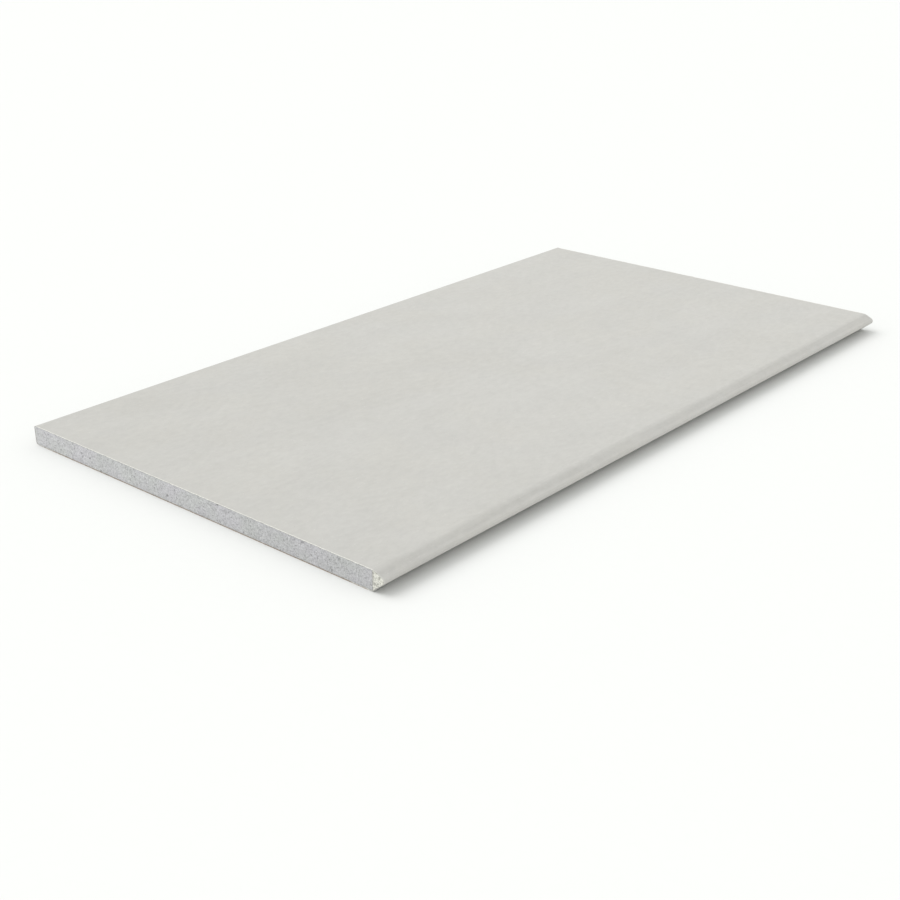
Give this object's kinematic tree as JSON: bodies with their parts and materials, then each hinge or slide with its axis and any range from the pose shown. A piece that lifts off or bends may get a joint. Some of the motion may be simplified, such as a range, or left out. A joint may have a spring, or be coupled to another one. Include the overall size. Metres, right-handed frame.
{
  "type": "drywall sheet",
  "caption": "thick gypsum board cut to length: aerated gypsum core, pale face paper wrapped round a bevelled nosed edge and a square edge, tan back paper",
  "frame": {"origin": "on the floor, under the middle of the board", "axes": "+X across the board to its nosed edge, +Y along its length, +Z from the back to the face"},
  "size_m": [0.6, 1.08, 0.025],
  "materials": {
    "gypsum": "matte, aerated and finely pitted",
    "face_paper": "matte, finely fibrous",
    "back_paper": "matte, coarse fibrous"
  },
  "bodies": {
    "root": {"gypsum_core": "gypsum", "face_paper": "face_paper", "back_paper": "back_paper"}
  },
  "joints": []
}
